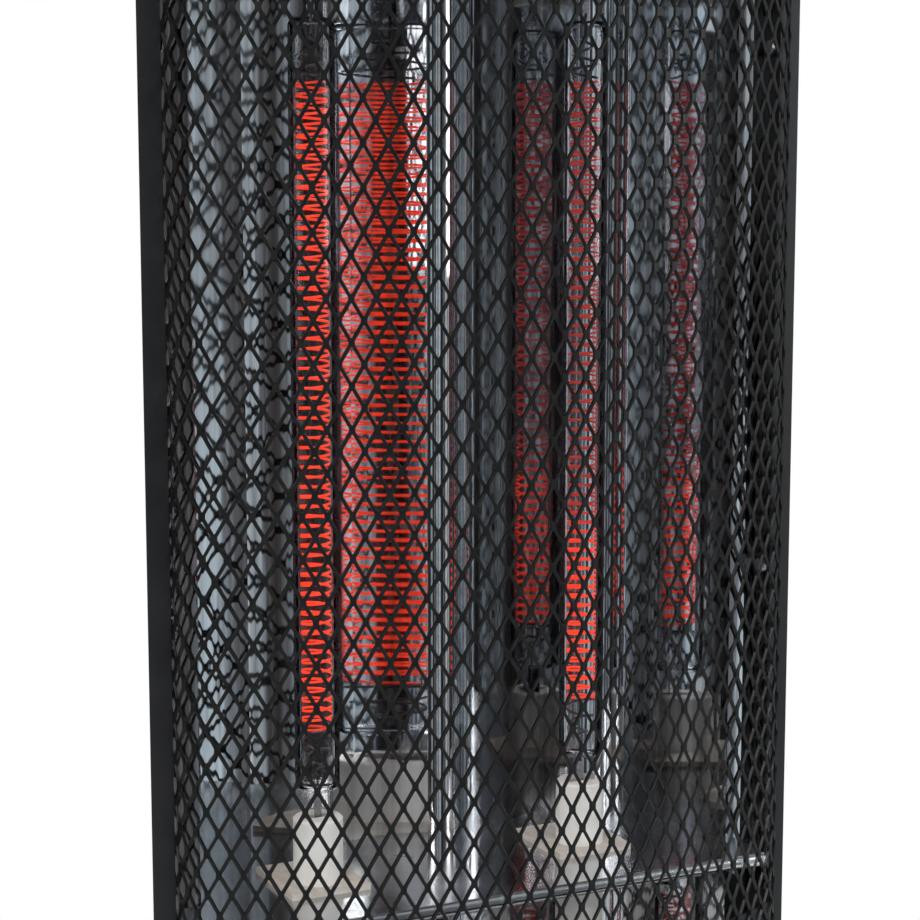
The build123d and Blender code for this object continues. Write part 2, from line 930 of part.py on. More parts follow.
def make_knob():
    """The selector knob: a cup with a grip bar, a hub for the shaft and a pointer notch."""
    back = boss_face - knob_gap
    front = back - knob_depth
    with BuildPart() as knob:
        front_disc(0, knob_height, knob_radius, front + 5, back)
        fillet(knob.faces().sort_by(Axis.Y)[0].edges(), 2)
        with Locations((0, front + 4, knob_height)):
            Box(9, 8, 1.8 * knob_radius)
        front_disc(0, knob_height, knob_radius - knob_wall, front + 5 + knob_wall, back, Mode.SUBTRACT)
        front_disc(0, knob_height, 2 * shaft_radius, front + 5, back - nut_thickness - 1)
        front_disc(0, knob_height, shaft_radius + 0.02, front + 2, back, Mode.SUBTRACT)
        with Locations((0, front, knob_height + 0.65 * knob_radius)):
            Box(1.6, 1.6, 0.4 * knob_radius, mode=Mode.SUBTRACT)
    save(knob.part, "selector_knob")
    with BuildPart() as shaft:
        front_disc(0, knob_height, shaft_radius, front + 2, front + shaft_length)
    save(shaft.part, "knob_shaft")


def make_pilot_light():
    """The lens in the fascia and the lamp holder behind it."""
    with BuildPart() as lens:
        front_disc(lens_x, knob_height, lens_flange, lens_face - lens_flange_thickness, lens_face)
        fillet(lens.faces().sort_by(Axis.Y)[0].edges(), 1.0)
        front_disc(lens_x, knob_height, lens_radius, lens_face, lens_face + 8)
    save(lens.part, "pilot_lens")
    with BuildPart() as holder:
        front_disc(lens_x, knob_height, lens_radius - 0.6, lens_face + 8, lens_face + 24)
    save(holder.part, "pilot_lamp")


# Base


def base_area(inset):
    """The base in plan, drawn in by the inset."""
    with BuildSketch() as area:
        RectangleRounded(base_width - 2 * inset, base_depth - 2 * inset, base_corner - inset)
    return area.sketch


base_screw_spots = [(-85, -40), (85, -40), (-70, 50), (70, 50)]
foot_spots = [
    (sx * (base_width / 2 - foot_inset_x), sy * (base_depth / 2 - foot_inset_y))
    for sx in (-1, 1)
    for sy in (-1, 1)
]
plate_screw_spots = [(0, -base_depth / 2 + 22), (0, base_depth / 2 - 22), (-base_width / 2 + 22, 0), (base_width / 2 - 22, 0)]
base_inner_top = base_top - base_wall
bottom_plate_top = foot_height + bottom_plate_thickness


def make_base_cover():
    """The moulded base cover, hollow below, with bosses for the bottom plate's screws."""
    with BuildPart() as cover:
        with BuildSketch(Plane.XY.offset(foot_height)):
            add(base_area(0))
        extrude(amount=base_height, taper=base_taper)
        fillet(cover.faces().sort_by(Axis.Z)[-1].edges(), 4)
        with BuildSketch(Plane.XY.offset(foot_height)):
            add(base_area(base_wall))
        extrude(amount=base_height - base_wall, taper=base_taper, mode=Mode.SUBTRACT)
        with BuildSketch(Plane.XY.offset(bottom_plate_top)):
            with Locations(*plate_screw_spots):
                Circle(boss_outer)
        extrude(until=Until.NEXT)
        with BuildSketch(Plane.XY.offset(bottom_plate_top)):
            with Locations(*plate_screw_spots):
                Circle(screw_radius + hole_clearance)
        extrude(amount=screw_length, mode=Mode.SUBTRACT)
        with BuildSketch(Plane.XY.offset(base_top)):
            with Locations(*base_screw_spots):
                Circle(screw_radius + hole_clearance)
        extrude(amount=-2 * base_wall, mode=Mode.SUBTRACT)
    save(cover.part, "base_cover")


def make_bottom_plate():
    """The steel plate that closes the base, with a hole for the tilt switch's plunger."""
    with BuildPart() as plate:
        with BuildSketch(Plane.XY.offset(foot_height)):
            add(base_area(base_wall + plate_play))
            with Locations(*plate_screw_spots, *foot_spots):
                Circle(screw_radius + hole_clearance, mode=Mode.SUBTRACT)
            with Locations((0, tilt_y)):
                Circle(plunger_radius + seat_clearance, mode=Mode.SUBTRACT)
        extrude(amount=bottom_plate_thickness)
    save(plate.part, "bottom_plate")


def make_plate_screws():
    """The screws that hold the bottom plate to the base cover."""
    with BuildPart() as screws:
        for x, y in plate_screw_spots:
            screw(Plane(origin=(x, y, foot_height), z_dir=(0, 0, -1)))
    save(screws.part, "bottom_plate_screws")


def make_feet():
    """Rubber feet, each hollowed from below for the screw that holds it."""
    with BuildPart() as feet:
        with BuildSketch(Plane.XY):
            with Locations(*foot_spots):
                Circle(foot_radius)
        extrude(amount=foot_height)
        with BuildSketch(Plane.XY):
            with Locations(*foot_spots):
                Circle(screw_head_radius + seat_clearance)
        extrude(amount=foot_height / 2 + 1, mode=Mode.SUBTRACT)
        with BuildSketch(Plane.XY):
            with Locations(*foot_spots):
                Circle(screw_radius + hole_clearance)
        extrude(amount=foot_height, mode=Mode.SUBTRACT)
    save(feet.part, "rubber_feet")
    with BuildPart() as screws:
        for x, y in foot_spots:
            screw(Plane(origin=(x, y, foot_height / 2 + 1), z_dir=(0, 0, -1)))
    save(screws.part, "foot_screws")


def make_foot_plate():
    """The steel plate that joins the column to the base."""
    with BuildPart() as plate:
        with BuildSketch(Plane.XY.offset(base_top)):
            add(tower_area())
            with Locations(*base_screw_spots):
                Circle(screw_radius + hole_clearance, mode=Mode.SUBTRACT)
        extrude(amount=foot_plate_thickness)
    save(plate.part, "column_foot_plate")
    with BuildPart() as screws:
        for x, y in base_screw_spots:
            screw(Plane(origin=(x, y, column_bottom), z_dir=(0, 0, 1)))
    save(screws.part, "column_screws")


# Tilt switch: pressed in by the floor, and pushed out by its spring when the heater is lifted

flange_bottom = bottom_plate_top + 3.5 + plunger_drop
chamber_roof = bottom_plate_top + tilt_height - tilt_roof
flange_top = flange_bottom + plunger_flange


def make_tilt_switch():
    """The tilt switch: body, plunger and spring."""
    with BuildPart() as body:
        with Locations((0, tilt_y, bottom_plate_top + tilt_height / 2)):
            Box(tilt_width, tilt_width, tilt_height)
        with BuildSketch(Plane.XY.offset(bottom_plate_top)):
            with Locations((0, tilt_y)):
                Circle(plunger_radius + running_clearance)
        extrude(amount=tilt_height / 2, mode=Mode.SUBTRACT)
        with BuildSketch(Plane.XY.offset(flange_bottom - plunger_drop)):
            with Locations((0, tilt_y)):
                Circle(plunger_flange_radius + seat_clearance)
        extrude(amount=chamber_roof - flange_bottom + plunger_drop, mode=Mode.SUBTRACT)
    save(body.part, "tilt_switch")
    with BuildPart() as plunger:
        rod((0, tilt_y, 0), (0, tilt_y, flange_top), plunger_radius)
        rod((0, tilt_y, flange_bottom), (0, tilt_y, flange_top), plunger_flange_radius)
        fillet(plunger.edges().group_by(Axis.Z)[0], 0.8)
    save(plunger.part, "tilt_plunger")
    rise = (chamber_roof - flange_top - 2 * spring_wire) / spring_turns
    with BuildPart() as spring:
        with Locations((0, tilt_y, flange_top + spring_wire)):
            add(wound_wire(spring_radius, spring_wire, rise, spring_turns, 2 * spring_wire).part)
    save(spring.part, "tilt_spring")
    print("tilt spring: least gap %.2f mm" % least_gap(spring_radius, spring_wire, rise, spring_turns))


# Electrical pieces inside

block_top = column_bottom + block_height
terminal_pitch = 13.0
terminal_x = [(place - 1.5) * terminal_pitch for place in range(4)]
cutout_radius = 8.0
cutout_height = 9.0
cutout_spot = (0, -8)


def make_terminal_block():
    """The block that joins the lamp wires to the supply, with its clamping screws."""
    hole_depth = 6.0
    with BuildPart() as block:
        with Locations((0, block_y, column_bottom + block_height / 2)):
            Box(block_width, block_depth, block_height)
        with BuildSketch(Plane.XY.offset(block_top)):
            with Locations(*[(x, block_y - 3) for x in terminal_x]):
                Circle(wire_cover_radius + hole_clearance)
            with Locations(*[(x, block_y + 4) for x in terminal_x]):
                Circle(2.0 + hole_clearance)
        extrude(amount=-hole_depth, mode=Mode.SUBTRACT)
    save(block.part, "terminal_block")
    with BuildPart() as screws:
        for x in terminal_x:
            rod((x, block_y + 4, block_top - hole_depth), (x, block_y + 4, block_top - 1), 2.0)
    save(screws.part, "terminal_screws")


def insulated_wire(points, bend):
    """Add a round insulated wire through some points to the part being built."""
    with BuildLine() as route:
        FilletPolyline(*points, radius=bend)
    with BuildSketch(Plane(origin=route.line @ 0, z_dir=route.line % 0)) as section:
        Circle(wire_cover_radius)
    sweep(section.sketch, path=route.line)


def make_wires():
    """Wires from the terminal block to the lower lamps, and up the back to the upper lamps."""
    clamp_y = block_y - 3
    start = block_top - 6
    turn = lower_shelf - 16
    with BuildPart() as lower:
        for x, lamp in ((terminal_x[0], lamp_sides["left"]), (terminal_x[3], lamp_sides["right"])):
            end = lower_shelf - pin_tail
            insulated_wire([(x, clamp_y, start), (x, clamp_y, turn - 20), (lamp, 0, turn - 14), (lamp, 0, end)], 8)
    save(lower.part, "lower_lamp_wires")
    over = ceiling_top + 12
    with BuildPart() as risers:
        for x, lamp in ((terminal_x[1], lamp_sides["left"]), (terminal_x[2], lamp_sides["right"])):
            near = math.copysign(4, x)
            pin_top = upper_shelf + lamp_length + pin_tail
            insulated_wire(
                [
                    (x, clamp_y, start),
                    (x, clamp_y, start + 25),
                    (near, riser_y, start + 45),
                    (near, riser_y, over),
                    (lamp, 0, over),
                    (lamp, 0, pin_top),
                ],
                8,
            )
        for x in lamp_sides.values():
            rod((x, 0, lower_shelf + lamp_length + pin_tail), (x, 0, upper_shelf - pin_tail), wire_cover_radius)
    save(risers.part, "upper_lamp_wires")


def make_cutout():
    """The thermal cut-out, a disc on the roof plate that opens the circuit when it gets too hot."""
    x, y = cutout_spot
    with BuildPart() as cutout:
        with BuildSketch(Plane.XY.offset(ceiling_top)):
            with Locations(cutout_spot):
                Rectangle(34, 10)
                Circle(cutout_radius)
        extrude(amount=1)
        with BuildSketch(Plane.XY.offset(ceiling_top + 1)):
            with Locations(cutout_spot):
                Circle(cutout_radius)
        extrude(amount=cutout_height)
        for side in (-1, 1):
            with Locations((x + side * 4, y, ceiling_top + 1 + cutout_height + 3)):
                Box(0.8, 5, 6)
    save(cutout.part, "thermal_cutout")


def make_gland():
    """The bushing in the casing's back where the supply enters."""
    outside = 3.0
    with BuildPart() as gland:
        with BuildSketch(Plane.XZ.offset(-rear_depth)):
            with Locations((0, gland_height)):
                Circle(gland_radius)
        extrude(amount=gland_length - outside)
        with BuildSketch(Plane.XZ.offset(-rear_depth)):
            with Locations((0, gland_height)):
                Circle(gland_flange)
        extrude(amount=-outside)
        front_disc(0, gland_height, gland_bore, 0, 2 * rear_depth, Mode.SUBTRACT)
    save(gland.part, "cord_gland")


build_lamps()
for tier_name in shelf_levels:
    make_reflector(tier_name)
    make_shelf(tier_name)
    make_pads(tier_name)
    make_cups(tier_name)
make_post(-1, "left_post")
make_post(1, "right_post")
make_casing()
make_guard()
make_guard_screws()
make_bands()
make_roof()
make_top_cap()
make_roof_screws()
make_handle()
make_handle_screws()
make_fascia()
make_switch()
make_switch_nut()
make_knob()
make_pilot_light()
make_base_cover()
make_bottom_plate()
make_plate_screws()
make_feet()
make_foot_plate()
make_tilt_switch()
make_terminal_block()
make_wires()
make_cutout()
make_gland()
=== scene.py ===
import json
import math

import bmesh
import bpy
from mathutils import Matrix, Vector


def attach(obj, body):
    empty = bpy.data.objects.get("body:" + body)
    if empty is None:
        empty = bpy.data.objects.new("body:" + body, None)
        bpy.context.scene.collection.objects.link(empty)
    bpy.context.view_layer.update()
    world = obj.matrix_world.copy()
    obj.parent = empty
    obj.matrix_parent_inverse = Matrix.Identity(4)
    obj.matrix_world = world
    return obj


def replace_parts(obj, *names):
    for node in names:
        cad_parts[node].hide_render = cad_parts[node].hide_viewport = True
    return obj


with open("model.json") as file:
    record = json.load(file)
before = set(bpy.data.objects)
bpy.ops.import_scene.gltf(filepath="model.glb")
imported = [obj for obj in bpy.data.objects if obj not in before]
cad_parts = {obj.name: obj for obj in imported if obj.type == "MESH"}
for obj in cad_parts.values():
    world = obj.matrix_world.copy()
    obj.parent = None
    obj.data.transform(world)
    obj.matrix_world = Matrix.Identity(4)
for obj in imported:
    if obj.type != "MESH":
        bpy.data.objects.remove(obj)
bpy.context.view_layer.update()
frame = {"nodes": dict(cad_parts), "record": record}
nodes = frame["nodes"]
MM = 0.001
# A colour ramp holds values up to 1, so the glow is divided by this and multiplied again
GLOW_SCALE = 10.0


# Materials: every one has its own grain, worked out from the place on the object
def tree(name):
    mat = bpy.data.materials.new(name)
    mat.use_nodes = True
    nt = mat.node_tree
    nt.nodes.clear()
    return mat, nt


def link(nt, a, b):
    nt.links.new(a, b)


def noise(nt, scale, stretch=(1, 1, 1), detail=4.0, rough=0.55):
    place = nt.nodes.new("ShaderNodeTexCoord")
    mapping = nt.nodes.new("ShaderNodeMapping")
    mapping.inputs["Scale"].default_value = stretch
    link(nt, place.outputs["Object"], mapping.inputs["Vector"])
    tex = nt.nodes.new("ShaderNodeTexNoise")
    tex.inputs["Scale"].default_value = scale
    tex.inputs["Detail"].default_value = detail
    tex.inputs["Roughness"].default_value = rough
    link(nt, mapping.outputs["Vector"], tex.inputs["Vector"])
    return tex.outputs["Fac"]


def ramp(nt, fac, *stops):
    node = nt.nodes.new("ShaderNodeValToRGB")
    line = node.color_ramp
    while len(line.elements) < len(stops):
        line.elements.new(0.5)
    for e, (at, colour) in zip(line.elements, stops):
        e.position = at
        e.color = (*colour, 1)
    link(nt, fac, node.inputs["Fac"])
    return node.outputs["Color"]


def grey(v):
    return (v, v, v)


def surface(name, dark, light, rough=(0.4, 0.6), metal=0.0, scale=60.0, stretch=(1, 1, 1),
            bump=0.1, bump_scale=900.0, coat=0.0, bump_stretch=(1, 1, 1), shine=0.5):
    mat, nt = tree(name)
    out = nt.nodes.new("ShaderNodeOutputMaterial")
    skin = nt.nodes.new("ShaderNodeBsdfPrincipled")
    fac = noise(nt, scale, stretch)
    link(nt, ramp(nt, fac, (0.3, dark), (0.7, light)), skin.inputs["Base Color"])
    link(nt, ramp(nt, fac, (0.3, grey(rough[0])), (0.7, grey(rough[1]))), skin.inputs["Roughness"])
    skin.inputs["Metallic"].default_value = metal
    skin.inputs["Specular IOR Level"].default_value = shine
    skin.inputs["Coat Weight"].default_value = coat
    skin.inputs["Coat Roughness"].default_value = 0.15
    fine = nt.nodes.new("ShaderNodeBump")
    fine.inputs["Strength"].default_value = bump
    fine.inputs["Distance"].default_value = 0.0002
    link(nt, noise(nt, bump_scale, bump_stretch, 2.0), fine.inputs["Height"])
    link(nt, fine.outputs["Normal"], skin.inputs["Normal"])
    link(nt, skin.outputs["BSDF"], out.inputs["Surface"])
    return mat


def clear_glass(name, tint, rim):
    """Thin clear glass: light passes straight through, and the sides mirror more at a grazing angle."""
    mat, nt = tree(name)
    out = nt.nodes.new("ShaderNodeOutputMaterial")
    through = nt.nodes.new("ShaderNodeBsdfTransparent")
    through.inputs["Color"].default_value = (*tint, 1)
    shine = nt.nodes.new("ShaderNodeBsdfGlossy")
    shine.inputs["Color"].default_value = (0.95, 0.97, 1.0, 1)
    wave = noise(nt, 90, (1, 1, 0.35), 3.0)
    link(nt, ramp(nt, wave, (0.3, grey(0.02)), (0.75, grey(0.07))), shine.inputs["Roughness"])
    fine = nt.nodes.new("ShaderNodeBump")
    fine.inputs["Strength"].default_value = 0.25
    fine.inputs["Distance"].default_value = 0.0004
    link(nt, wave, fine.inputs["Height"])
    link(nt, fine.outputs["Normal"], shine.inputs["Normal"])
    edge = nt.nodes.new("ShaderNodeLayerWeight")
    edge.inputs["Blend"].default_value = rim
    link(nt, fine.outputs["Normal"], edge.inputs["Normal"])
    mix = nt.nodes.new("ShaderNodeMixShader")
    link(nt, edge.outputs["Fresnel"], mix.inputs["Fac"])
    link(nt, through.outputs["BSDF"], mix.inputs[1])
    link(nt, shine.outputs["BSDF"], mix.inputs[2])
    link(nt, mix.outputs["Shader"], out.inputs["Surface"])
    return mat


def glowing(name, stops, strength_stops, low, high, body=(0.05, 0.02, 0.015)):
    """Hot wire: its glow follows the height between low and high, and the grain breaks it up a little."""
    mat, nt = tree(name)
    out = nt.nodes.new("ShaderNodeOutputMaterial")
    skin = nt.nodes.new("ShaderNodeBsdfPrincipled")
    skin.inputs["Base Color"].default_value = (*body, 1)
    skin.inputs["Roughness"].default_value = 0.5
    place = nt.nodes.new("ShaderNodeTexCoord")
    split = nt.nodes.new("ShaderNodeSeparateXYZ")
    link(nt, place.outputs["Object"], split.inputs["Vector"])
    height = nt.nodes.new("ShaderNodeMapRange")
    height.inputs["From Min"].default_value = low
    height.inputs["From Max"].default_value = high
    link(nt, split.outputs["Z"], height.inputs["Value"])
    link(nt, ramp(nt, height.outputs["Result"], *stops), skin.inputs["Emission Color"])
    level = ramp(nt, height.outputs["Result"], *[(a, grey(v / GLOW_SCALE)) for a, v in strength_stops])
    grain = ramp(nt, noise(nt, 140, (1, 1, 2), 2.0), (0.3, grey(0.75)), (0.7, grey(1.0)))
    times = nt.nodes.new("ShaderNodeMath")
    times.operation = "MULTIPLY"
    link(nt, level, times.inputs[0])
    link(nt, grain, times.inputs[1])
    restored = nt.nodes.new("ShaderNodeMath")
    restored.operation = "MULTIPLY"
    link(nt, times.outputs["Value"], restored.inputs[0])
    restored.inputs[1].default_value = GLOW_SCALE
    link(nt, restored.outputs["Value"], skin.inputs["Emission Strength"])
    link(nt, skin.outputs["BSDF"], out.inputs["Surface"])
    return mat


def reflection_streaked(name):
    """Bright rolled sheet: upright streaks of lighter and darker metal in the colour, the dark streaks
    being painted reflection of dark surroundings.
    """
    mat, nt = tree(name)
    out = nt.nodes.new("ShaderNodeOutputMaterial")
    skin = nt.nodes.new("ShaderNodeBsdfPrincipled")
    skin.inputs["Metallic"].default_value = 1.0
    wide = noise(nt, 38, (1, 1, 0.03), 5.0, 0.6)
    # Painted reflection: the dark and grey stops put upright dark streaks into the sheet's colour, standing
    # in for dark surroundings mirrored in it
    painted_reflection_tone = ramp(nt, wide, (0.34, (0.26, 0.25, 0.25)), (0.46, (0.56, 0.56, 0.57)),
                (0.56, (0.80, 0.83, 0.86)), (0.68, (0.96, 0.97, 0.98)))
    link(nt, painted_reflection_tone, skin.inputs["Base Color"])
    slow = noise(nt, 22, (1, 1, 0.15), 3.0)
    link(nt, ramp(nt, slow, (0.3, grey(0.02)), (0.7, grey(0.06))), skin.inputs["Roughness"])
    fine = nt.nodes.new("ShaderNodeBump")
    fine.inputs["Strength"].default_value = 0.16
    fine.inputs["Distance"].default_value = 0.0006
    link(nt, noise(nt, 60, (1, 1, 0.06), 3.0), fine.inputs["Height"])
    link(nt, fine.outputs["Normal"], skin.inputs["Normal"])
    link(nt, skin.outputs["BSDF"], out.inputs["Surface"])
    return mat


black_plastic = ((0.010, 0.010, 0.011), (0.018, 0.018, 0.019))
charcoal = ((0.020, 0.020, 0.022), (0.030, 0.030, 0.033))
finishes = {
    "base_plastic": surface("base_plastic", *black_plastic, rough=(0.45, 0.6), bump=0.35),
    "cap_plastic": surface("cap_plastic", *black_plastic, rough=(0.45, 0.6), bump=0.35),
    "fascia_plastic": surface("fascia_plastic", (0.012, 0.012, 0.013), (0.02, 0.02, 0.021),
                              rough=(0.3, 0.45), bump=0.2),
    "knob_plastic": surface("knob_plastic", (0.03, 0.03, 0.032), (0.045, 0.045, 0.048),
                            rough=(0.3, 0.42), bump=0.2),
    "handle_plastic": surface("handle_plastic", (0.012, 0.012, 0.013), (0.02, 0.02, 0.021),
                              rough=(0.5, 0.62), bump=0.4),
    "rubber": surface("rubber", (0.012, 0.012, 0.012), (0.02, 0.02, 0.02), rough=(0.75, 0.9), bump=0.5),
    "gland_rubber": surface("gland_rubber", (0.012, 0.012, 0.012), (0.022, 0.022, 0.022),
                            rough=(0.65, 0.8), bump=0.4),
    "zinc_steel": surface("zinc_steel", (0.42, 0.42, 0.41), (0.60, 0.60, 0.58), rough=(0.3, 0.5),
                          metal=1.0, scale=120, bump=0.2),
    "screw_steel": surface("screw_steel", (0.20, 0.20, 0.21), (0.42, 0.42, 0.43), rough=(0.25, 0.42),
                           metal=1.0, scale=400, bump=0.15),
    "post_paint": surface("post_paint", (0.008, 0.008, 0.009), (0.012, 0.012, 0.014), rough=(0.36, 0.48),
                          scale=30, bump=0.3, bump_scale=1400, shine=0.4),
    "casing_paint": surface("casing_paint", *charcoal, rough=(0.42, 0.55), scale=18, bump=0.35,
                            bump_scale=1200, coat=0.1),
    "mesh_paint": surface("mesh_paint", (0.003, 0.003, 0.003), (0.007, 0.007, 0.007),
                          rough=(0.32, 0.5), scale=300, bump=0.25, bump_scale=1500, shine=0.22),
    "band_paint": surface("band_paint", (0.006, 0.006, 0.007), (0.012, 0.012, 0.013),
                          rough=(0.35, 0.5), scale=60, bump=0.25),
    # The mirror sheet's colour holds painted dark reflection streaks
    "mirror_sheet": reflection_streaked("mirror_sheet"),
    "shelf_steel": surface("shelf_steel", (0.50, 0.51, 0.53), (0.72, 0.73, 0.75), rough=(0.16, 0.28),
                           metal=1.0, scale=26, stretch=(1, 0.35, 1), bump=0.15, bump_scale=260,
                           bump_stretch=(1, 0.1, 1)),
    "cup_steel": surface("cup_steel", (0.36, 0.36, 0.36), (0.55, 0.55, 0.54), rough=(0.3, 0.45),
                         metal=1.0, scale=150, bump=0.2),
    "pad_board": surface("pad_board", (0.56, 0.50, 0.44), (0.74, 0.68, 0.61), rough=(0.8, 0.95),
                         scale=220, stretch=(1, 0.4, 1), bump=0.6, bump_scale=700),
    "wire_cover": surface("wire_cover", (0.50, 0.48, 0.44), (0.66, 0.64, 0.60), rough=(0.6, 0.8),
                          scale=300, bump=0.5, bump_scale=1500),
    "switch_plastic": surface("switch_plastic", (0.015, 0.015, 0.016), (0.024, 0.024, 0.025),
                              rough=(0.4, 0.55), bump=0.2),
    "switch_brass": surface("switch_brass", (0.55, 0.38, 0.14), (0.75, 0.55, 0.25), rough=(0.25, 0.4),
                            metal=1.0, scale=200, bump=0.15),
    "plunger_plastic": surface("plunger_plastic", (0.45, 0.44, 0.42), (0.56, 0.55, 0.53),
                               rough=(0.35, 0.5), scale=90, bump=0.15),
    "spring_steel": surface("spring_steel", (0.42, 0.42, 0.43), (0.62, 0.62, 0.63), rough=(0.2, 0.35),
                            metal=1.0, scale=500, bump=0.1),
    "cutout_ceramic": surface("cutout_ceramic", (0.66, 0.63, 0.58), (0.76, 0.74, 0.70),
                              rough=(0.45, 0.6), scale=120, bump=0.2),
    "cap_ceramic": surface("cap_ceramic", (0.88, 0.85, 0.80), (0.96, 0.94, 0.90), rough=(0.35, 0.55),
                           scale=110, bump=0.25, bump_scale=800, coat=0.1),
    "lead_metal": surface("lead_metal", (0.04, 0.04, 0.045), (0.16, 0.16, 0.17), rough=(0.3, 0.5),
                          metal=1.0, scale=500, bump=0.2),
    "foil_metal": surface("foil_metal", (0.35, 0.35, 0.36), (0.62, 0.62, 0.64), rough=(0.3, 0.5),
                          metal=1.0, scale=900, bump=0.5),
    "quartz": clear_glass("quartz", (0.985, 0.985, 0.99), 0.22),
    "lamp_glass_small": clear_glass("lamp_glass_small", (0.95, 0.93, 0.9), 0.3),
    "lens_amber": surface("lens_amber", (0.55, 0.10, 0.01), (0.85, 0.22, 0.02), rough=(0.12, 0.22),
                          scale=200, bump=0.15, bump_scale=500, coat=0.5),
}
slots = {part["node"]: part["material_slot"] for part in frame["record"]["subparts"]}
for name, node in nodes.items():
    finish = finishes.get(slots[name])
    if finish is not None:
        node.data.materials.clear()
        node.data.materials.append(finish)


# Pieces
def piece(name, mesh, mat, body="heater"):
    obj = bpy.data.objects.new(name, mesh)
    bpy.context.scene.collection.objects.link(obj)
    mesh.materials.append(mat)
    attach(obj, body)
    return obj


def from_lists(name, verts, faces, smooth=False):
    mesh = bpy.data.meshes.new(name)
    mesh.from_pydata([tuple(v) for v in verts], [], faces)
    mesh.validate()
    if smooth:
        mesh.polygons.foreach_set("use_smooth", [True] * len(mesh.polygons))
    mesh.update()
    return mesh


def tube(verts, faces, points, radius, sides=8):
    """Adds a round wire along the points to the lists, closed at both ends."""
    first = len(verts)
    side = None
    for i, p in enumerate(points):
        way = (points[min(i + 1, len(points) - 1)] - points[max(i - 1, 0)]).normalized()
        if side is None:
            side = way.orthogonal().normalized()
        side = (side - way * side.dot(way)).normalized()
        up = way.cross(side)
        for k in range(sides):
            turn = 2 * math.pi * k / sides
            verts.append(p + side * radius * math.cos(turn) + up * radius * math.sin(turn))
    for i in range(len(points) - 1):
        for k in range(sides):
            a, b = first + i * sides + k, first + i * sides + (k + 1) % sides
            faces.append((a, b, b + sides, a + sides))
    faces.append(tuple(range(first + sides - 1, first - 1, -1)))
    last = first + (len(points) - 1) * sides
    faces.append(tuple(range(last, last + sides)))


# The guard: expanded sheet, each strand a flat bar tilted the way the press leaves it
GUARD_R, GUARD_Y, GUARD_HALF, GUARD_CORNER, GUARD_BACK = 259.4, 177.0, 131.4, 21.4, -24.0
CORNER_X = GUARD_HALF - GUARD_CORNER
CORNER_Y = GUARD_Y - math.sqrt((GUARD_R - GUARD_CORNER) ** 2 - CORNER_X ** 2)
SWING = math.asin(CORNER_X / (GUARD_R - GUARD_CORNER))
FRONT_RUN = GUARD_R * SWING
BEND_RUN = GUARD_CORNER * (math.pi / 2 - SWING)
HALF_RUN = FRONT_RUN + BEND_RUN + GUARD_BACK - CORNER_Y
GUARD_LOW, GUARD_HIGH = 132.0, 924.2
CELL_WIDE, CELL_HIGH = 9.2, 15.9
PHASE_ALONG, PHASE_UP = 2.28, -2.8
SHEET_HALF = 0.6
KNUCKLE_HALF, KNUCKLE_WIDE, KNUCKLE_THICK = 1.7, 2.3, 1.2
STRAND_WIDE, STRAND_THICK, STRAND_TILT = 1.25, 0.9, 0.3
SHORTEST_STRAND = 0.5
SIDE_RIM, END_RIM, OVERRUN = 0.8, 2.4, 8.0


def guard_place(s, z, out=0.0):
    """Point on the guard's middle surface at the run s from its middle line, moved out along its normal."""
    sign, t = (1 if s >= 0 else -1), abs(s)
    if t <= FRONT_RUN:
        a = t / GUARD_R
        x, y = GUARD_R * math.sin(a), GUARD_Y - GUARD_R * math.cos(a)
        nx, ny = math.sin(a), -math.cos(a)
    elif t <= FRONT_RUN + BEND_RUN:
        a = SWING + (t - FRONT_RUN) / GUARD_CORNER
        x, y = CORNER_X + GUARD_CORNER * math.sin(a), CORNER_Y - GUARD_CORNER * math.cos(a)
        nx, ny = math.sin(a), -math.cos(a)
    else:
        x, y = GUARD_HALF, CORNER_Y + t - FRONT_RUN - BEND_RUN
        nx, ny = 1.0, 0.0
    return Vector((sign * (x + nx * out), y + ny * out, z)) * MM


def bar(verts, faces, a, b, wide, thick, tilt):
    """Flat bar from a to b, both (run, height), wide in the sheet and tilted about its own line."""
    run, rise = b[0] - a[0], b[1] - a[1]
    size = math.hypot(run, rise)
    nx, nz = -rise / size, run / size
    c, s = math.cos(tilt), math.sin(tilt)
    first = len(verts)
    for end in (a, b):
        for i, j in ((-1, -1), (1, -1), (1, 1), (-1, 1)):
            across = i * wide / 2 * c - j * thick / 2 * s
            out = i * wide / 2 * s + j * thick / 2 * c
            along = min(max(end[0] + nx * across, -HALF_RUN), HALF_RUN)
            level = min(max(end[1] + nz * across, GUARD_LOW), GUARD_HIGH)
            verts.append(guard_place(along, level, min(max(out, -SHEET_HALF), SHEET_HALF)))
    f = first
    faces += [(f, f + 1, f + 2, f + 3), (f + 7, f + 6, f + 5, f + 4), (f, f + 4, f + 5, f + 1),
              (f + 1, f + 5, f + 6, f + 2), (f + 2, f + 6, f + 7, f + 3), (f + 3, f + 7, f + 4, f)]


def clipped(start, end):
    """The ends of a strand, cut back to the guard's own edges."""
    for p, q in ((start, end), (end, start)):
        for axis, low, high in ((0, -HALF_RUN, HALF_RUN), (1, GUARD_LOW, GUARD_HIGH)):
            for limit, beyond in ((low, p[axis] < low), (high, p[axis] > high)):
                if beyond and q[axis] != p[axis]:
                    f = (limit - p[axis]) / (q[axis] - p[axis])
                    p[0], p[1] = p[0] + f * (q[0] - p[0]), p[1] + f * (q[1] - p[1])
    return start, end


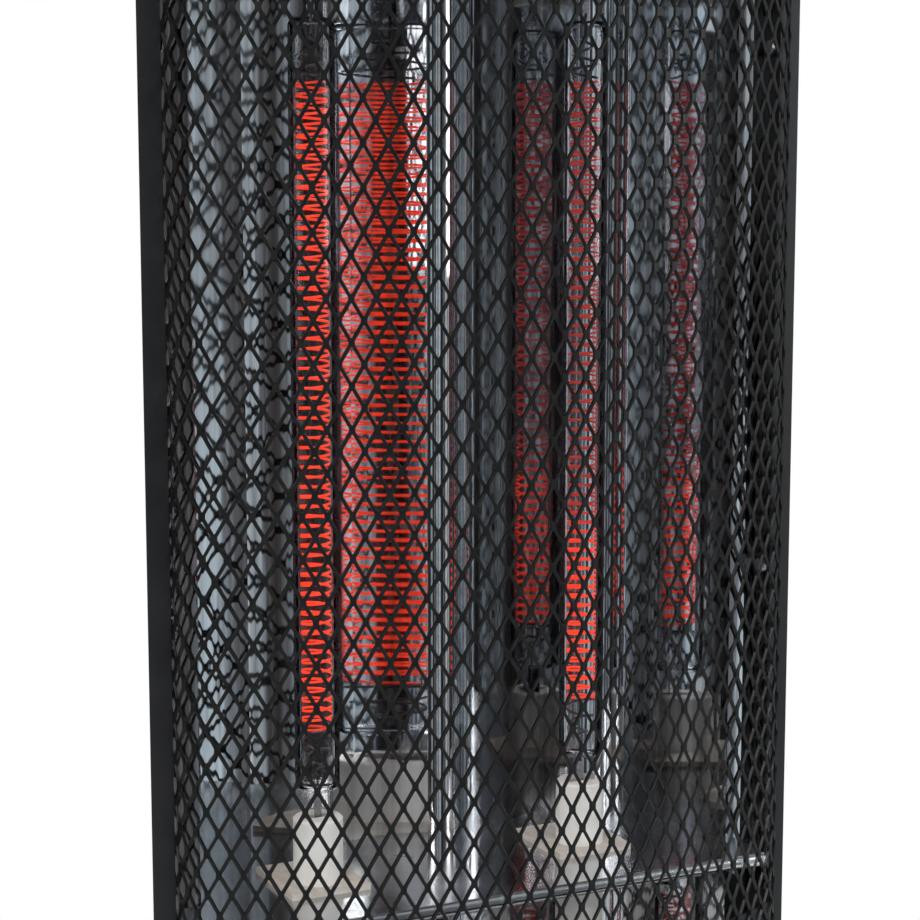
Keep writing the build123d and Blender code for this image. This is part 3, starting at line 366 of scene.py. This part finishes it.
def lattice():
    """The whole guard: a knuckle at each crossing, and two strands up from it."""
    verts, faces = [], []
    rows = int((GUARD_HIGH - GUARD_LOW) / CELL_HIGH * 2) + 6
    cols = int(HALF_RUN / CELL_WIDE * 2) + 6
    crossings = [(i, j) for j in range(-3, rows) for i in range(-cols, cols) if (i + j) % 2 == 0]
    for i, j in crossings:
        s = PHASE_ALONG + i * CELL_WIDE / 2
        z = GUARD_LOW + PHASE_UP + j * CELL_HIGH / 2
        near = abs(s) <= HALF_RUN + CELL_WIDE / 2 and GUARD_LOW - OVERRUN < z < GUARD_HIGH + OVERRUN
        if not near:
            continue
        if abs(s) < HALF_RUN - SIDE_RIM and GUARD_LOW + END_RIM < z < GUARD_HIGH - END_RIM:
            ends = (s, z - KNUCKLE_HALF), (s, z + KNUCKLE_HALF)
            bar(verts, faces, *ends, KNUCKLE_WIDE, KNUCKLE_THICK, 0.0)
        for way in (-1, 1):
            end = [s + way * CELL_WIDE / 2, z + CELL_HIGH / 2]
            if abs(end[0]) > HALF_RUN and abs(s) > HALF_RUN:
                continue
            start, end = clipped([s, z], end)
            if math.dist(start, end) < SHORTEST_STRAND or end[1] <= start[1]:
                continue
            bar(verts, faces, start, end, STRAND_WIDE, STRAND_THICK, STRAND_TILT * way)
    return from_lists("guard_lattice", verts, faces)


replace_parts(piece("guard_lattice", lattice(), finishes["mesh_paint"]), "mesh_guard")

# Lamps: fine coils, curly leads and foils inside the glass
COIL_RADIUS, WIRE = 6.6, 0.52
COIL_LOW, COIL_HIGH, TURNS = 63.0, 322.0, 66
SHELF = {"lower": 135.0, "upper": 530.0}
SIDE = {"left": -60.0, "right": 60.0}
COIL_STEPS = 20
LAMP_LENGTH, PINCH_LOW, FOIL_HIGH = 385.0, 15.0, 39.5
CURLS, CURL_DROP, CURL_STEPS, CURL_TAPER = 2.5, 17.0, 60, 0.6
STRAIGHT_LEAD = (45.0, 41.0, 37.0)
LEAD_RADIUS, PIN_RADIUS, PIN_LOW = 0.55, 0.9, 2.0
FOIL_HALF, FOIL_THIN, FOIL_STEPS = 1.6, 0.12, 24
RED, DIM = (1.0, 0.040, 0.008), (0.80, 0.035, 0.022)


def lamp_level(z, height, up):
    """A height on a lamp, measured from its lower or its upper end."""
    return z + (LAMP_LENGTH - height if up else height)


def coil_mesh(name, x, z):
    verts, faces = [], []
    steps = TURNS * COIL_STEPS
    low, high = z + COIL_LOW + WIRE, z + COIL_HIGH - WIRE
    points = []
    for i in range(steps + 1):
        turn = 2 * math.pi * i / COIL_STEPS
        place = (x + COIL_RADIUS * math.cos(turn), COIL_RADIUS * math.sin(turn),
                 low + (high - low) * i / steps)
        points.append(Vector(place) * MM)
    tube(verts, faces, points, WIRE * MM, 6)
    return from_lists(name, verts, faces, smooth=True)


def lead_mesh(name, x, z):
    """The dark lead at each end: loose curls from the coil, a straight run, and the pin in the cap."""
    verts, faces = [], []
    for up in (False, True):
        curls = []
        for i in range(CURL_STEPS + 1):
            f = i / CURL_STEPS
            turn = 2 * math.pi * CURLS * f
            r = COIL_RADIUS * (1 - f) ** CURL_TAPER
            curls.append((r * math.cos(turn), r * math.sin(turn), COIL_LOW - CURL_DROP * f))
        curls += [(0, 0, level) for level in STRAIGHT_LEAD]
        points = [Vector((x + a, b, lamp_level(z, c, up))) * MM for a, b, c in curls]
        tube(verts, faces, points, LEAD_RADIUS * MM, 8)
        pin = [Vector((x, 0, lamp_level(z, c, up))) * MM for c in (PIN_LOW, PINCH_LOW)]
        tube(verts, faces, pin, PIN_RADIUS * MM, 10)
    return from_lists(name, verts, faces, smooth=True)


def foil_mesh(name, x, z):
    """Crimped foil strip in each pinch."""
    verts, faces = [], []
    for up in (False, True):
        first = len(verts)
        for i in range(FOIL_STEPS + 1):
            wide = FOIL_HALF + 0.12 * math.sin(i * 2.3)
            ripple = 0.10 * math.sin(i * 1.7)
            level = lamp_level(z, PINCH_LOW + (FOIL_HIGH - PINCH_LOW) * i / FOIL_STEPS, up)
            for sx, sy in ((-1, -FOIL_THIN), (1, -FOIL_THIN), (1, FOIL_THIN), (-1, FOIL_THIN)):
                verts.append(Vector((x + sx * wide, sy + ripple, level)) * MM)
        for i in range(FOIL_STEPS):
            for k in range(4):
                a, b = first + i * 4 + k, first + i * 4 + (k + 1) % 4
                faces.append((a + 4, b + 4, b, a) if up else (a, b, b + 4, a + 4))
    return from_lists(name, verts, faces)


for tier, z in SHELF.items():
    for side, x in SIDE.items():
        low, high = (z + COIL_LOW) * MM, (z + COIL_HIGH) * MM
        if side == "left":
            glow = glowing("hot_wire_" + tier + "_left", [(0, RED), (1, RED)],
                           [(0.0, 0.6), (0.03, 1.25), (0.95, 1.1), (1.0, 0.6)], low, high)
        else:
            glow = glowing("hot_wire_" + tier + "_right",
                           [(0, RED), (0.27, RED), (0.33, DIM), (1, DIM)],
                           [(0.0, 0.8), (0.02, 1.3), (0.26, 1.15), (0.33, 0.45), (1.0, 0.38)], low, high)
        label = tier + "_" + side
        obj = piece(label + "_wound_wire", coil_mesh(label + "_wound_wire", x, z), glow)
        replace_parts(obj, label + "_heating_coil")
        lead_name, foil_name = label + "_curly_leads", label + "_foils"
        lead = piece(lead_name, lead_mesh(lead_name, x, z), finishes["lead_metal"])
        foil = piece(foil_name, foil_mesh(foil_name, x, z), finishes["foil_metal"])
        for obj in (lead, foil):
            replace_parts(obj, label + "_lamp_leads")

# Dial marks: plain bars on the knob's boss, one for each switch position
ink = surface("dial_ink", (0.55, 0.55, 0.55), (0.72, 0.72, 0.72), rough=(0.4, 0.5), scale=500, bump=0.1)
KNOB_HEIGHT, BOSS_FACE, MARK_RADIUS = 86.0, -86.0, 23.3
MARKS, MARK_TURN, MARK_HALF_LENGTH = 5, 60, 1.7


def dial_marks():
    """Each bar is a little wider than the one before, in the order of the heat settings."""
    verts, faces = [], []
    for step in range(MARKS):
        angle = math.radians(MARK_TURN * step)
        c, s = math.cos(angle), math.sin(angle)
        half_wide = 0.55 + 0.12 * step
        first = len(verts)
        for dy in (0.02, -0.15):
            for i, j in ((-1, -1), (1, -1), (1, 1), (-1, 1)):
                u, v = i * half_wide, MARK_RADIUS + j * MARK_HALF_LENGTH
                verts.append(Vector((v * s + u * c, BOSS_FACE + dy, KNOB_HEIGHT + v * c - u * s)) * MM)
        f = first
        faces.extend([(f + 3, f + 2, f + 1, f), (f + 4, f + 5, f + 6, f + 7), (f, f + 1, f + 5, f + 4),
                      (f + 1, f + 2, f + 6, f + 5), (f + 2, f + 3, f + 7, f + 6), (f + 3, f, f + 4, f + 7)])
    return from_lists("dial_marks", verts, faces)


piece("dial_marks", dial_marks(), ink)

# Camera: the place that was worked out from the photo, with its focal length in pixels of the photo
FOCAL_PIXELS, PICTURE_PIXELS, SENSOR = 2442, 920, 36
CAMERA_PITCH, CAMERA_YAW = 8.652, 25.99
cam = bpy.data.objects.new("photo_camera", bpy.data.cameras.new("photo_camera"))
bpy.context.scene.collection.objects.link(cam)
cam.location = (-0.4245, -0.8780, 0.848)
cam.rotation_euler = (math.radians(90 - CAMERA_PITCH), 0, math.radians(-CAMERA_YAW))
cam.data.sensor_width = SENSOR
cam.data.lens = FOCAL_PIXELS / PICTURE_PIXELS * SENSOR
cam.data.clip_start = 0.02
bpy.context.scene.camera = cam


# Lights
def lamp(name, place, aim, size, power, colour):
    data = bpy.data.lights.new(name, "AREA")
    data.shape = "RECTANGLE"
    data.size, data.size_y = size
    data.energy = power
    data.color = colour
    obj = bpy.data.objects.new(name, data)
    bpy.context.scene.collection.objects.link(obj)
    obj.location = place
    obj.rotation_euler = (Vector(aim) - Vector(place)).to_track_quat("-Z", "Y").to_euler()


lamp("key", (-1.9, -1.9, 2.3), (0, 0, 0.6), (0.9, 1.6), 75, (1, 0.99, 0.97))
lamp("fill", (2.2, -1.5, 1.4), (0, 0, 0.5), (1.2, 1.8), 30, (0.95, 0.97, 1))
lamp("top", (0, -0.2, 3.0), (0, 0, 0.5), (1.6, 1.6), 26, (1, 1, 1))
lamp("back", (0.6, 2.4, 1.9), (0, 0, 0.6), (1.4, 1.4), 16, (1, 1, 1))


# Background: white to the camera, and a room of upright light and dark stripes to everything else
def striped_room(nt):
    place = nt.nodes.new("ShaderNodeTexCoord")
    split = nt.nodes.new("ShaderNodeSeparateXYZ")
    link(nt, place.outputs["Generated"], split.inputs["Vector"])
    flat = nt.nodes.new("ShaderNodeCombineXYZ")
    link(nt, split.outputs["X"], flat.inputs["X"])
    link(nt, split.outputs["Y"], flat.inputs["Y"])
    level = nt.nodes.new("ShaderNodeVectorMath")
    level.operation = "NORMALIZE"
    link(nt, flat.outputs["Vector"], level.inputs[0])
    stripes = nt.nodes.new("ShaderNodeTexNoise")
    stripes.inputs["Scale"].default_value = 3.4
    stripes.inputs["Detail"].default_value = 6.0
    stripes.inputs["Roughness"].default_value = 0.62
    link(nt, level.outputs["Vector"], stripes.inputs["Vector"])
    return ramp(nt, stripes.outputs["Fac"], (0.42, (0.020, 0.019, 0.021)), (0.49, (0.09, 0.085, 0.085)),
                (0.535, (0.24, 0.27, 0.30)), (0.585, (0.58, 0.67, 0.72)), (0.65, (1.0, 1.0, 1.0)))


def studio(nt):
    nt.nodes.clear()
    rays = nt.nodes.new("ShaderNodeLightPath")
    mix = nt.nodes.new("ShaderNodeMixRGB")
    mix.inputs["Color2"].default_value = (1, 1, 1, 1)
    link(nt, rays.outputs["Is Camera Ray"], mix.inputs["Fac"])
    link(nt, striped_room(nt), mix.inputs["Color1"])
    back = nt.nodes.new("ShaderNodeBackground")
    back.inputs["Strength"].default_value = 1.0
    link(nt, mix.outputs["Color"], back.inputs["Color"])
    out = nt.nodes.new("ShaderNodeOutputWorld")
    link(nt, back.outputs["Background"], out.inputs["Surface"])


world = bpy.data.worlds.new("studio")
bpy.context.scene.world = world
world.use_nodes = True
studio(world.node_tree)

# Floor
ground = bmesh.new()
bmesh.ops.create_circle(ground, cap_ends=True, radius=1.4, segments=96)
floor_mesh = bpy.data.meshes.new("floor")
ground.to_mesh(floor_mesh)
floor = bpy.data.objects.new("floor", floor_mesh)
bpy.context.scene.collection.objects.link(floor)
floor_mesh.materials.append(surface("floor_pale", (0.80, 0.80, 0.80), (0.86, 0.86, 0.86),
                                    rough=(0.6, 0.8), scale=6, bump=0.05))

bpy.context.scene.view_settings.view_transform = "Standard"
